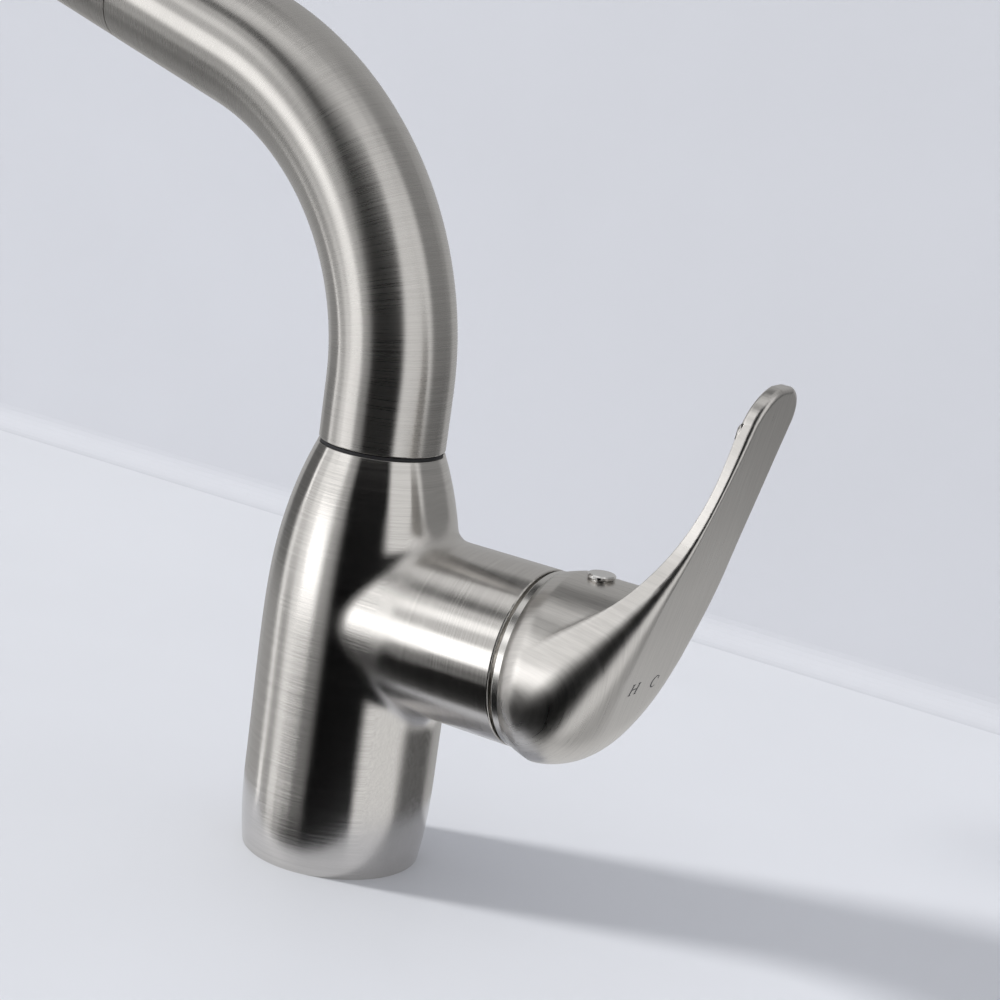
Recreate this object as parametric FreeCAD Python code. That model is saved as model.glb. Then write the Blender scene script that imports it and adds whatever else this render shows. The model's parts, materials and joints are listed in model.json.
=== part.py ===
"""Single-hole kitchen mixer with side lever and pull-out spray wand, in millimetres.

Origin on the deck at the centre of the base, Z up, X along the lever barrel.
The spout at rest points to minus X, and swings over the sink at minus Y.
"""
import math
import os

import FreeCAD
import Part

V = FreeCAD.Vector
ZERO = V(0, 0, 0)
X_AXIS = V(1, 0, 0)
Y_AXIS = V(0, 1, 0)
Z_AXIS = V(0, 0, 1)

# clearances
GAP = 0.3            # between pieces that move against each other
RUN = 0.08           # radial running fit of turning and sliding pieces
PIN_RUN = 0.05       # running fit on small pins and between the ceramic discs
PAST = 20.0          # how far a cutting body runs past the piece

# column of the body casting
BASE_R = 25.1
FOOT_R = 26.3
FOOT_Z = 10.5
WAIST_R = 26.7
WAIST_Z = 30.4
BELLY_R = 26.8
BELLY_Z = 62.0
SHOULDER_R = 25.6
SHOULDER_DROP = 31.0  # below the seam
NECK_R = 22.6
NECK_DROP = 15.0      # below the seam
SEAM_H = 117.0
SEAM_LEDGE = 0.1      # the column's top stands out from the spout
BLEND_R = 6.0
TURNED_EDGE = 0.4     # broken edges of turned pieces

# waterways and hose passage in the casting
SOCKET_R = 16.2       # base thread for the shank
SOCKET_H = 44.0
HOSE_X = -6.5
HOSE_R = 9.0
INLET_X = 6.6
INLET_Y = 9.4
OUTLET_X = 11.5
INLET_R = 3.5
INLET_THREAD_R = 4.5
INLET_THREAD_L = 11.0
THROAT_L = 12.0       # run of the hose passage into the swivel post

# lever barrel and trim ring
BARREL_Z = 72.3
BARREL_R = 24.4
BARREL_END = 57.7
POCKET_WALL = 2.4
POCKET_R = BARREL_R - POCKET_WALL
POCKET_L = 8.0
POCKET_X = BARREL_END - POCKET_L
GROOVE_W = 1.0        # dark line between barrel and trim ring
TRIM_W = 2.2
TRIM_IN = 19.5
TRIM_X = BARREL_END + GROOVE_W
TRIM_END = TRIM_X + TRIM_W

# cartridge
CART_R = 17.5
CART_FLOOR = 20.0
CART_BASE_T = 4.0
CART_BASE_X = CART_FLOOR + CART_BASE_T
PORT_Y = 8.5
PORT_DROP = 5.0
OUT_RISE = 8.0
PORT_R = 3.0
SEAL_R = 4.0
SEAL_T = 1.2
DISC_PORT_R = 2.6
FIXED_T = 4.0
DISC_X0 = CART_BASE_X + FIXED_T + PIN_RUN
DISC_R = 11.0
DISC_T = 3.5
CHANNEL_D = 1.5
CHANNEL_HALF_Y = 7.0
CHANNEL_LOW = 4.0
CHANNEL_HIGH = 2.0
DRIVER_INSET = 0.6
BALL_R = 2.6
BALL_ARM = 8.0
BALL_PLAY = 0.5
BALL_FLOOR = 0.4
LIFT_DEG = 20.0
PIVOT_X = 43.0
PIVOT_R = 1.5
PIVOT_HALF = 12.0
STEM_HALF_Y = 4.0
STEM_HALF_Z = 3.5
STEM_LOW_R = 2.2
STEM_BACK = 4.0
STEM_FRONT = 8.0
ROTOR_R = 14.4
ROTOR_X0 = 36.2
ROTOR_X1 = 52.0
ROTOR_SLOT_HALF_Z = 8.5
ROTOR_PROUD = 1.0
LIP_W = 1.6
HOUSING_TOP = 54.0
CART_NUT_IN = 12.6
CART_NUT_T = 3.5
SPANNER_W = 3.0
SPANNER_D = 2.0

# lever and hub
HUB_PROUD = 1.9
HUB_R = BARREL_R + HUB_PROUD
HUB_BULGE_X = 66.0
HUB_RIM_BACK = 4.0
HUB_RIM_IN = 1.5
HUB_SWELL_X = 1.2
HUB_SWELL_R = 0.75
SWEEP_R = math.hypot(TRIM_END - PIVOT_X, BARREL_R)
CAVITY_R = SWEEP_R + GAP
LEVER_W = 11.0        # half width of the paddle
LEVER_T = 4.1
LEVER_HEEL_X = 78.2   # lower end of the outer arc
LEVER_HEEL_Z = 42.0
LEVER_REACH = 116.5   # upper end of the outer arc
LEVER_TOP = 158.8
LEVER_BOW = 1.685     # rise of the outer arc over its chord
LEVER_LOW = V(LEVER_HEEL_X, 0, LEVER_HEEL_Z)
LEVER_TIP = V(LEVER_REACH, 0, LEVER_TOP)
TIP_ROUND = 8.8
TIP_OVER = 0.6
TIP_SLANT = 0.4
LEVER_END_Z = LEVER_TOP - TIP_ROUND
SHOULDER_RISE = 9.0   # where the hub circle runs into the paddle
ROOT_DROP = 1.3
FLARE_LOW = ((0.182, 0.70),)
FLARE_KNEE = (0.330, 0.452)  # where the rounding has faded
FLARE_HIGH = ((0.454, 0.248), (0.600, 0.109), (0.796, 0.022))
INNER_CURVE = ((0.927, 0.829), (0.849, 0.640), (0.739, 0.477), (0.610, 0.345), (0.461, 0.239), (0.280, 0.152))
HEEL_R = 24.0         # roundings of the outer edge: heel, shoulder, knee, paddle and tip
SHOULDER_EDGE_R = 12.0
KNEE_EDGE_R = 3.5
LEVER_EDGE_R = 1.2
TIP_EDGE_R = 0.78
BOSS_R = 8.0
BOSS_OUT = 24.5
BOSS_X = PIVOT_X + BOSS_OUT
STEM_END = 80.0
SCREW_R = 2.5
SCREW_L = 10.0
HEX_R = 1.4
HEX_D = 3.0
CAP_X = 73.0
CAP_R = 3.8
CAP_LIP = 0.6
CAP_H = 1.3
CAP_BEVEL = 0.35
CAP_LIFT = 0.1
CAP_PLUG_L = 4.0
CAP_SEAT = BARREL_Z + HUB_R - CAP_PLUG_L
WEEP_X = 63.6         # drain hole under the hub
WEEP_R = 0.7

# spout and swivel post
TUBE_R = 17.45
TUBE_WALL = 1.5
TUBE_IN = TUBE_R - TUBE_WALL
TUBE_EDGE = 0.3
WASHER_T = 0.8
WASHER_INSET = 0.5
SPOUT_Z0 = SEAM_H + WASHER_T + GAP
STRAIGHT_L = 16.4
BEND_Z = SPOUT_Z0 + STRAIGHT_L
BEND_R = 86.0
BEND_DEG = 72.5
RUN_L = 40.0
POST_R = 13.2
POST_IN = 10.4
POST_SEAT_L = 23.0
POST_RISE = 21.5
POST_Z0 = SEAM_H - POST_SEAT_L
POST_Z1 = SEAM_H + POST_RISE
RING_R = 0.9
RING_LOW = 6.0
RING_HIGH = 12.0
RING_HEIGHTS = (SEAM_H + RING_LOW, SEAM_H + RING_HIGH)
CLIP_RISE = 17.8
CLIP_Z = SEAM_H + CLIP_RISE
CLIP_T = 1.5
CLIP_DEPTH = 0.8
CLIP_OUT = 1.6
CLIP_MOUTH = 4.0
BUSH_LIFT = 0.5
DOCK_L = 28.0

# wand, in its own frame: x out along the spout, z up
REACH = 221.0         # from the column's axis to the middle of the spray face
NECK_L = 32.0
NECK_BORE = 8.0
NECK_FLANGE_T = 6.0
NIPPLE_IN = 12.0
NIPPLE_BORE = 4.5
LAND_R = 10.0
LAND_T = 2.0
HOSE_NUT_L = 6.0
HOSE_NUT_FLAT = 8.6
VALVE_L = 9.0
VALVE_PORT_R = 1.8
VALVE_PITCH = 4.2
WAND_R = 17.4
WAND_WALL = 2.0
WAND_IN = WAND_R - WAND_WALL
WAND_BEND_R = 62.0
WAND_BEND_DEG = 68.0
CORE_R = 6.5
CORE_IN = 5.0
CORE_COLLAR_R = 9.0
CORE_COLLAR_T = 3.0
HEAD_L = 26.0
HEAD_R = 19.4
FACE_D = 8.0
FACE_RING_R = 17.8
DIVERTER_T = 10.0
DIVERTER_HOLE_R = 1.6
DIVERTER_PITCH = 10.5
DIVERTER_HOLES = 8
PLATE_R = 15.2
PLATE_T = 5.0
NUB_ROWS = ((9.2, 12), (12.6, 18))
NUB_R = 1.1
NUB_TIP_R = 0.8
NUB_H = 1.4
AERATOR_R = 7.0
AERATOR_IN = 5.6
AERATOR_T = 5.6
AERATOR_CUP = 2.0
AERATOR_INLET_R = 2.0
MESH_W = 0.6
MESH_H = 1.0
MESH_STEP = 2.0
ROCK_X = 24.0
ROCK_Z = 15.0
ROCK_L = 10.0
ROCK_W = 4.9
ROCK_DEG = 6.0
ROCK_BASE_Z = 13.6
ROCK_TOP_Z = 18.6
ROCK_DISH = 0.7
ROCK_EDGE = 0.8
ROCK_PIN_R = 1.0
ROCK_PIN_HALF = 6.4
ROCK_PLAY = 0.8
WINDOW_MARGIN = 2.0
WINDOW_HALF_Y = 7.0
WINDOW_Z = 9.0
CRADLE_INSET = 0.2
CRADLE_FLOOR_Z = 11.2

# deck fixing
COLLAR_R = 16.5       # plain collar that centres the shank in the deck hole
COLLAR_L = 10.0
MOUTH_GAP = 0.1
SHANK_IN = 13.6
SHANK_TOP = 15.0
SHANK_END = -60.0
SHANK_CHAMFER = 1.0
GASKET_IN = 19.0
GASKET_INSET = 1.2
GASKET_T = 2.0
DECK_T = 20.0
CLAMP_BORE = SOCKET_R + RUN
CLAMP_R = 25.0
RUBBER_T = 3.0
STEEL_T = 2.0
RUBBER_Z = -DECK_T - RUBBER_T
STEEL_Z = RUBBER_Z - STEEL_T
CLAMP_NUT_T = 10.0
CLAMP_NUT_R = 24.0
CLAMP_NUT_FLAT = 21.5
CLAMP_NUT_FLANGE = 3.0
CLAMP_NUT_Z = STEEL_Z - CLAMP_NUT_T
JACK_COUNT = 3
JACK_R = 1.6
JACK_PITCH = 19.5
JACK_L = 16.0
JACK_HEAD_R = 2.1
JACK_HEAD_L = 3.0
JACK_SLOT_W = 0.8
JACK_SLOT_D = 1.0


def cyl_z(r, z0, z1, x=0.0, y=0.0):
    return Part.makeCylinder(r, z1 - z0, V(x, y, z0), Z_AXIS)


def cyl_x(r, x0, x1, y=0.0, z=BARREL_Z):
    return Part.makeCylinder(r, x1 - x0, V(x0, y, z), X_AXIS)


def ring_z(r0, r1, z0, z1):
    return cyl_z(r1, z0, z1).cut(cyl_z(r0, z0, z1))


def ring_x(r0, r1, x0, x1):
    return cyl_x(r1, x0, x1).cut(cyl_x(r0, x0, x1))


def box(x0, x1, y0, y1, z0, z1):
    return Part.makeBox(x1 - x0, y1 - y0, z1 - z0, V(x0, y0, z0))


def polygon_face(points):
    return Part.Face(Part.makePolygon(points + [points[0]]))


def turned_z(points):
    """Solid turned about Z from (radius, height) points."""
    outline = polygon_face([V(r, 0, z) for r, z in points])
    return outline.revolve(ZERO, Z_AXIS, 360)


def spline_edge(points):
    curve = Part.BSplineCurve()
    curve.interpolate(points)
    return curve.toShape()


def edges_at(shape, test):
    return [e for e in shape.Edges if test(e.BoundBox.Center, e)]


def around(shape, axis, count, centre=ZERO):
    """Copies of a shape, evenly turned about an axis."""
    copies = []
    for i in range(count):
        copy = shape.copy()
        copy.rotate(centre, axis, 360.0 * i / count)
        copies.append(copy)
    return copies


def body_outline():
    lip_r = TUBE_R + SEAM_LEDGE
    side = spline_edge([
        V(BASE_R, 0, 0), V(FOOT_R, 0, FOOT_Z), V(WAIST_R, 0, WAIST_Z), V(BELLY_R, 0, BELLY_Z),
        V(SHOULDER_R, 0, SEAM_H - SHOULDER_DROP), V(NECK_R, 0, SEAM_H - NECK_DROP), V(lip_r, 0, SEAM_H)])
    top = Part.makeLine(V(lip_r, 0, SEAM_H), V(0, 0, SEAM_H))
    axis = Part.makeLine(V(0, 0, SEAM_H), ZERO)
    foot = Part.makeLine(ZERO, V(BASE_R, 0, 0))
    return Part.Face(Part.Wire([side, top, axis, foot]))


def body_tee():
    """Column and barrel with a rounded blend between them."""
    column = body_outline().revolve(ZERO, Z_AXIS, 360)
    tee = column.fuse(cyl_x(BARREL_R, 0, BARREL_END))
    joint = edges_at(tee, lambda c, e: 0 < c.x < 0.7 * BARREL_END and e.BoundBox.ZLength > BARREL_R)
    tee = tee.makeFillet(BLEND_R, joint)
    rim = edges_at(tee, lambda c, e: abs(c.x - BARREL_END) < 0.01)
    return tee.makeFillet(TURNED_EDGE, rim)


def waterway(x, y, port_y, port_z):
    """Threaded port in the socket, a riser and a cross port into the cartridge bore."""
    thread = cyl_z(INLET_THREAD_R, SOCKET_H, SOCKET_H + INLET_THREAD_L, x, y)
    riser = cyl_z(INLET_R, SOCKET_H, port_z, x, y)
    cross = cyl_x(PORT_R, x, CART_FLOOR, port_y, port_z)
    return [thread, riser, cross]


def socket_mouth():
    """Chamfered mouth of the base thread."""
    r = COLLAR_R + MOUTH_GAP
    return Part.makeCone(r, SOCKET_R, r - SOCKET_R, ZERO, Z_AXIS)


def body_casting():
    tee = body_tee()
    cuts = [cyl_z(SOCKET_R, 0, SOCKET_H), socket_mouth(), base_gasket()]
    cuts.append(cyl_z(HOSE_R, SOCKET_H, POST_Z0, HOSE_X))
    cuts.append(cyl_z(POST_IN, POST_Z0 - THROAT_L, SEAM_H))
    cuts.append(cyl_z(POST_R, POST_Z0, SEAM_H))
    cuts.append(cyl_x(CART_R, CART_FLOOR, BARREL_END))
    cuts.append(cyl_x(POCKET_R, POCKET_X, BARREL_END))
    for side in (-1, 1):
        cuts += waterway(INLET_X, side * INLET_Y, side * PORT_Y, BARREL_Z - PORT_DROP)
    cuts += waterway(OUTLET_X, 0, 0, BARREL_Z + OUT_RISE)
    for cut in cuts:
        tee = tee.cut(cut)
    return tee.removeSplitter()


def base_gasket():
    return ring_z(GASKET_IN, BASE_R - GASKET_INSET, 0, GASKET_T)


def mounting_shank():
    return turned_z([
        (SHANK_IN, SHANK_END), (SOCKET_R - SHANK_CHAMFER, SHANK_END), (SOCKET_R, SHANK_END + SHANK_CHAMFER),
        (SOCKET_R, -COLLAR_L), (COLLAR_R, -COLLAR_L), (COLLAR_R, 0), (SOCKET_R, 0), (SOCKET_R, SHANK_TOP),
        (SHANK_IN, SHANK_TOP)])


def rubber_washer():
    return ring_z(CLAMP_BORE + GAP, CLAMP_R, RUBBER_Z, -DECK_T)


def steel_washer():
    return ring_z(CLAMP_BORE + GAP, CLAMP_R, STEEL_Z, RUBBER_Z)


def mounting_nut():
    nut = cyl_z(CLAMP_NUT_R, CLAMP_NUT_Z, STEEL_Z)
    wide = CLAMP_NUT_R + PAST
    flat = box(CLAMP_NUT_FLAT, wide, -wide, wide, CLAMP_NUT_Z, STEEL_Z - CLAMP_NUT_FLANGE)
    for cut in around(flat, Z_AXIS, 6):
        nut = nut.cut(cut)
    for cut in around(cyl_z(JACK_R, CLAMP_NUT_Z, STEEL_Z, JACK_PITCH), Z_AXIS, JACK_COUNT):
        nut = nut.cut(cut)
    return nut.cut(cyl_z(CLAMP_BORE, CLAMP_NUT_Z, STEEL_Z))


def jack_screws():
    shaft_end = STEEL_Z - JACK_L
    head_end = shaft_end - JACK_HEAD_L
    shaft = cyl_z(JACK_R, shaft_end, STEEL_Z, JACK_PITCH)
    head = cyl_z(JACK_HEAD_R, head_end, shaft_end, JACK_PITCH)
    slot = box(JACK_PITCH - JACK_HEAD_R, JACK_PITCH + JACK_HEAD_R, -JACK_SLOT_W / 2, JACK_SLOT_W / 2,
               head_end, head_end + JACK_SLOT_D)
    return Part.makeCompound(around(shaft.fuse(head).cut(slot), Z_AXIS, JACK_COUNT))


def swivel_post():
    post = ring_z(POST_IN, POST_R, POST_Z0, POST_Z1)
    for z in RING_HEIGHTS:
        post = post.cut(ring_z(POST_R - 2 * RING_R + RUN, POST_R, z - RING_R, z + RING_R))
    return post.cut(ring_z(POST_R - CLIP_DEPTH, POST_R, CLIP_Z, CLIP_Z + CLIP_T))


def spout_o_rings():
    pitch = POST_R - RING_R + RUN / 2
    rings = [Part.makeTorus(pitch, RING_R - RUN / 2, V(0, 0, z), Z_AXIS) for z in RING_HEIGHTS]
    return Part.makeCompound(rings)


def swivel_washer():
    return ring_z(POST_R, TUBE_R - WASHER_INSET, SEAM_H, SEAM_H + WASHER_T)


def post_clip():
    clip = ring_z(POST_R - CLIP_DEPTH, POST_R + CLIP_OUT, CLIP_Z, CLIP_Z + CLIP_T)
    half = CLIP_MOUTH / 2
    return clip.cut(box(0, POST_R + PAST, -half, half, CLIP_Z - GAP, CLIP_Z + CLIP_T + GAP))


def port_places():
    """Hot, cold and mixed ports of the cartridge, as (y, z)."""
    return ((-PORT_Y, BARREL_Z - PORT_DROP), (PORT_Y, BARREL_Z - PORT_DROP), (0, BARREL_Z + OUT_RISE))


def cartridge_base():
    disc = cyl_x(CART_R, CART_FLOOR, CART_BASE_X)
    for y, z in port_places():
        disc = disc.cut(cyl_x(PORT_R, CART_FLOOR, CART_BASE_X, y, z))
        disc = disc.cut(cyl_x(SEAL_R, CART_FLOOR, CART_FLOOR + SEAL_T, y, z))
    return disc


def cartridge_seals():
    seals = []
    for y, z in port_places():
        outer = cyl_x(SEAL_R, CART_FLOOR, CART_FLOOR + SEAL_T, y, z)
        seals.append(outer.cut(cyl_x(PORT_R, CART_FLOOR, CART_FLOOR + SEAL_T, y, z)))
    return Part.makeCompound(seals)


def fixed_disc():
    disc = cyl_x(ROTOR_R, CART_BASE_X, CART_BASE_X + FIXED_T)
    for y, z in port_places():
        disc = disc.cut(cyl_x(DISC_PORT_R, CART_BASE_X, CART_BASE_X + FIXED_T, y, z))
    return disc


def cartridge_housing():
    cup = ring_x(ROTOR_R, CART_R, CART_BASE_X, HOUSING_TOP)
    lip = ring_x(ROTOR_R - LIP_W, CART_R, ROTOR_X1 + GAP, HOUSING_TOP)
    return cup.fuse(lip).removeSplitter()


def cartridge_nut():
    top = HOUSING_TOP + CART_NUT_T
    nut = ring_x(CART_NUT_IN, TRIM_IN, HOUSING_TOP, top)
    half = SPANNER_W / 2
    slot = box(top - SPANNER_D, top, -half, half, BARREL_Z, BARREL_Z + TRIM_IN)
    for cut in around(slot, X_AXIS, 4, V(0, 0, BARREL_Z)):
        nut = nut.cut(cut)
    return nut


def trim_ring():
    spigot = ring_x(TRIM_IN, POCKET_R, POCKET_X, TRIM_X)
    flange = ring_x(TRIM_IN, BARREL_R, TRIM_X, TRIM_END)
    ring = spigot.fuse(flange).removeSplitter()
    rim = edges_at(ring, lambda c, e: abs(c.x - TRIM_X) < 0.01 and e.BoundBox.ZLength > 2 * POCKET_R + GAP)
    return ring.makeFillet(TURNED_EDGE, rim)


def pivot_pin():
    return Part.makeCylinder(PIVOT_R, 2 * PIVOT_HALF, V(PIVOT_X, -PIVOT_HALF, BARREL_Z), Y_AXIS)


def cartridge_rotor():
    top = HOUSING_TOP + ROTOR_PROUD
    rotor = cyl_x(ROTOR_R - RUN, ROTOR_X0, ROTOR_X1)
    rotor = rotor.fuse(cyl_x(ROTOR_R - LIP_W - GAP, ROTOR_X1, top))
    half_y = STEM_HALF_Y + GAP
    slot = box(ROTOR_X0, top, -half_y, half_y, BARREL_Z - ROTOR_SLOT_HALF_Z, BARREL_Z + ROTOR_SLOT_HALF_Z)
    return rotor.cut(slot).cut(pivot_pin()).removeSplitter()


def disc_centre():
    half_travel = 0.5 * BALL_ARM * math.radians(LIFT_DEG)
    return BARREL_Z - half_travel


def moving_disc():
    z = disc_centre()
    disc = cyl_x(DISC_R, DISC_X0, DISC_X0 + DISC_T, 0, z)
    return disc.cut(box(DISC_X0, DISC_X0 + CHANNEL_D, -CHANNEL_HALF_Y, CHANNEL_HALF_Y,
                        z - CHANNEL_LOW, z + CHANNEL_HIGH))


def disc_driver():
    x0 = DISC_X0 + DISC_T
    driver = cyl_x(DISC_R - DRIVER_INSET, x0, ROTOR_X0 - GAP, 0, disc_centre())
    return driver.cut(cyl_x(BALL_R + BALL_PLAY, x0 + BALL_FLOOR, ROTOR_X0))


def cartridge_stem():
    ball_x = PIVOT_X - BALL_ARM
    eye_x = PIVOT_X - STEM_BACK
    blade_x = PIVOT_X + STEM_FRONT
    ball = Part.makeSphere(BALL_R, V(ball_x, 0, BARREL_Z))
    root = cyl_x(STEM_HALF_Z, eye_x, blade_x)
    blade = box(blade_x, STEM_END, -STEM_HALF_Y, STEM_HALF_Y, BARREL_Z - STEM_HALF_Z, BARREL_Z + STEM_HALF_Z)
    eye = Part.makeCylinder(STEM_HALF_Z, 2 * STEM_HALF_Y, V(PIVOT_X, -STEM_HALF_Y, BARREL_Z), Y_AXIS)
    stem = cyl_x(STEM_LOW_R, ball_x, eye_x).fuse([ball, root, blade, eye])
    bore = Part.makeCylinder(PIVOT_R + PIN_RUN, 2 * PIVOT_HALF, V(PIVOT_X, -PIVOT_HALF, BARREL_Z), Y_AXIS)
    return stem.cut(bore).removeSplitter()


def lever_region(edges):
    face = Part.Face(Part.Wire(Part.__sortEdges__(edges)))
    face.translate(V(0, -2 * HUB_R, 0))
    return face.extrude(V(0, 4 * HUB_R, 0))


def outer_arc():
    chord = LEVER_TIP - LEVER_LOW
    out = V(chord.z, 0, -chord.x) * (LEVER_BOW / chord.Length)
    return Part.Arc(LEVER_LOW, LEVER_LOW + chord * 0.5 + out, LEVER_TIP).toShape()


def hub_turned():
    """Hub turned about the barrel: the rim swells to the hub size, the outer arc cuts the end."""
    back = TRIM_END - HUB_RIM_BACK
    rim = V(back, 0, HUB_RIM_IN - BARREL_R)
    swell = V(TRIM_END + HUB_SWELL_X, 0, -BARREL_R - HUB_SWELL_R)
    full = V(HUB_BULGE_X, 0, -HUB_R)
    far = V(LEVER_REACH, 0, -HUB_R)
    far_axis = V(LEVER_REACH, 0, 0)
    back_axis = V(back, 0, 0)
    edges = [Part.Arc(rim, swell, full).toShape(), Part.makeLine(full, far), Part.makeLine(far, far_axis),
             Part.makeLine(far_axis, back_axis), Part.makeLine(back_axis, rim)]
    turned = Part.Face(Part.Wire(edges)).revolve(ZERO, X_AXIS, 360)
    turned.translate(V(0, 0, BARREL_Z))
    top = V(back - GAP, 0, LEVER_TOP)
    low = V(back - GAP, 0, LEVER_HEEL_Z)
    side = lever_region([outer_arc(), Part.makeLine(LEVER_TIP, top), Part.makeLine(top, low),
                         Part.makeLine(low, LEVER_LOW)])
    return turned.common(side)


def flare_start():
    """Half width and height where the hub circle runs into the paddle."""
    return math.sqrt(HUB_R ** 2 - SHOULDER_RISE ** 2), BARREL_Z + SHOULDER_RISE


def flare_point(side, part, width):
    """Point of the flare at its share of the rise and of the narrowing."""
    spring_y, spring_z = flare_start()
    y = LEVER_W + width * (spring_y - LEVER_W)
    return V(0, side * y, spring_z + part * (LEVER_END_Z - spring_z))


def lever_front():
    """Front outline: the round hub runs up, tangent, into the paddle with its rounded end."""
    spring_y, spring_z = flare_start()
    low = V(0, 0, BARREL_Z - HUB_R)
    edges = []
    for s in (-1, 1):
        points = [V(0, s * spring_y, spring_z)]
        for part, width in FLARE_LOW + (FLARE_KNEE,) + FLARE_HIGH:
            points.append(flare_point(s, part, width))
        points.append(V(0, s * LEVER_W, LEVER_END_Z))
        lean = V(0, -s * SHOULDER_RISE / HUB_R, spring_y / HUB_R)
        flare = Part.BSplineCurve()
        flare.interpolate(Points=points, InitialTangent=lean, FinalTangent=Z_AXIS)
        knee = flare.parameter(flare_point(s, *FLARE_KNEE))
        for start, end in ((flare.FirstParameter, knee), (knee, flare.LastParameter)):
            piece = flare.copy()
            piece.segment(start, end)
            edges.append(piece.toShape())
        cheek = V(0, s * HUB_R * math.cos(math.pi / 4), BARREL_Z - HUB_R * math.sin(math.pi / 4))
        edges.append(Part.Arc(V(0, s * spring_y, spring_z), cheek, low).toShape())
    tip = V(0, 0, LEVER_TOP + TIP_OVER)
    edges.append(Part.Arc(V(0, -LEVER_W, LEVER_END_Z), tip, V(0, LEVER_W, LEVER_END_Z)).toShape())
    face = Part.Face(Part.Wire(Part.__sortEdges__(edges)))
    face.translate(V(HUB_BULGE_X, 0, 0))
    return face.extrude(V(LEVER_REACH - HUB_BULGE_X + PAST, 0, 0))


def lever_blade():
    """Paddle: its inner face leaves the hub in a hollow curve and thins towards the tip."""
    tip_in = V(LEVER_REACH - LEVER_T, 0, LEVER_TOP + TIP_SLANT)
    root = V(HUB_BULGE_X, 0, BARREL_Z + SHOULDER_RISE - ROOT_DROP)
    rise = LEVER_TOP - root.z
    run = tip_in.x - root.x
    points = [tip_in]
    for along, up in INNER_CURVE:
        points.append(V(root.x + along * run, 0, root.z + up * rise))
    points.append(root)
    low = V(HUB_BULGE_X, 0, LEVER_HEEL_Z)
    side = lever_region([outer_arc(), Part.makeLine(LEVER_TIP, tip_in), spline_edge(points),
                         Part.makeLine(root, low), Part.makeLine(low, LEVER_LOW)])
    return side.common(lever_front())


def edge_radius(point):
    """Rounding of the outer edge: broad under the hub, fading over the shoulder to the paddle."""
    stations = ((BARREL_Z - HUB_R, HEEL_R), (flare_start()[1], SHOULDER_EDGE_R),
                (flare_point(1, *FLARE_KNEE).z, KNEE_EDGE_R), (LEVER_END_Z, LEVER_EDGE_R))
    for (z0, r0), (z1, r1) in zip(stations, stations[1:]):
        if point.z <= z1:
            part = max(0.0, (point.z - z0) / (z1 - z0))
            return r0 + part * (r1 - r0)
    return LEVER_EDGE_R


def lever_outside():
    block = hub_turned().fuse(lever_blade()).removeSplitter()
    arc = outer_arc()
    rounds = []
    for number, edge in enumerate(block.Edges, 1):
        mid = edge.valueAt(0.5 * (edge.FirstParameter + edge.LastParameter))
        first = edge.Vertexes[0].Point
        last = edge.Vertexes[-1].Point
        if Part.Vertex(V(mid.x, 0, mid.z)).distToShape(arc)[0] < 0.01:
            rounds.append((number, edge_radius(first), edge_radius(last)))
        elif mid.z > LEVER_END_Z + LEVER_EDGE_R and mid.x < LEVER_REACH - LEVER_T + PIN_RUN:
            rounds.append((number, TIP_EDGE_R, TIP_EDGE_R))
    doc = FreeCAD.newDocument("lever")
    base = doc.addObject("Part::Feature", "Block")
    base.Shape = block
    soft = doc.addObject("Part::Fillet", "Soft")
    soft.Base = base
    soft.Edges = rounds
    doc.recompute()
    return soft.Shape.Solids[0].copy()


def handle_lever():
    lever = lever_outside().cut(Part.makeSphere(CAVITY_R, V(PIVOT_X, 0, BARREL_Z)))
    lever = lever.fuse(cyl_x(BOSS_R, BOSS_X, CAP_X + SCREW_R))
    lever = lever.cut(box(BOSS_X, STEM_END, -STEM_HALF_Y, STEM_HALF_Y,
                          BARREL_Z - STEM_HALF_Z, BARREL_Z + STEM_HALF_Z))
    lever = lever.cut(cyl_z(SCREW_R, BARREL_Z, CAP_SEAT, CAP_X))
    lever = lever.cut(cyl_z(CAP_R - CAP_LIP, CAP_SEAT, CAP_SEAT + PAST, CAP_X))
    lever = lever.cut(cyl_z(WEEP_R, BARREL_Z - HUB_R - PAST, BARREL_Z, WEEP_X))
    return lever.removeSplitter()


def handle_set_screw():
    z0 = BARREL_Z + STEM_HALF_Z
    z1 = z0 + SCREW_L
    hexagon = []
    for i in range(6):
        a = math.radians(60 * i)
        hexagon.append(V(CAP_X + HEX_R * math.cos(a), HEX_R * math.sin(a), z1 - HEX_D))
    return cyl_z(SCREW_R, z0, z1, CAP_X).cut(polygon_face(hexagon).extrude(V(0, 0, HEX_D)))


def screw_cap():
    z0 = BARREL_Z + HUB_R + CAP_LIFT
    z1 = z0 + CAP_H
    cap = turned_z([
        (0, CAP_SEAT), (CAP_R - CAP_LIP, CAP_SEAT), (CAP_R - CAP_LIP, z0), (CAP_R - CAP_BEVEL, z0),
        (CAP_R, z0 + CAP_BEVEL), (CAP_R, z1 - CAP_BEVEL), (CAP_R - CAP_BEVEL, z1), (0, z1)])
    cap.translate(V(CAP_X, 0, 0))
    return cap


def spout_dir():
    a = math.radians(BEND_DEG)
    return V(-math.sin(a), 0, math.cos(a))


def bend_point(a):
    """Point of the spout's bend, at an angle in radians."""
    return V(-BEND_R * (1 - math.cos(a)), 0, BEND_Z + BEND_R * math.sin(a))


def bend_end():
    return bend_point(math.radians(BEND_DEG))


def spout_end():
    return bend_end() + spout_dir() * RUN_L


def swept(path, r, start, direction):
    circle = Part.Wire([Part.makeCircle(r, start, direction)])
    return path.makePipeShell([circle], True, False)


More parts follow.
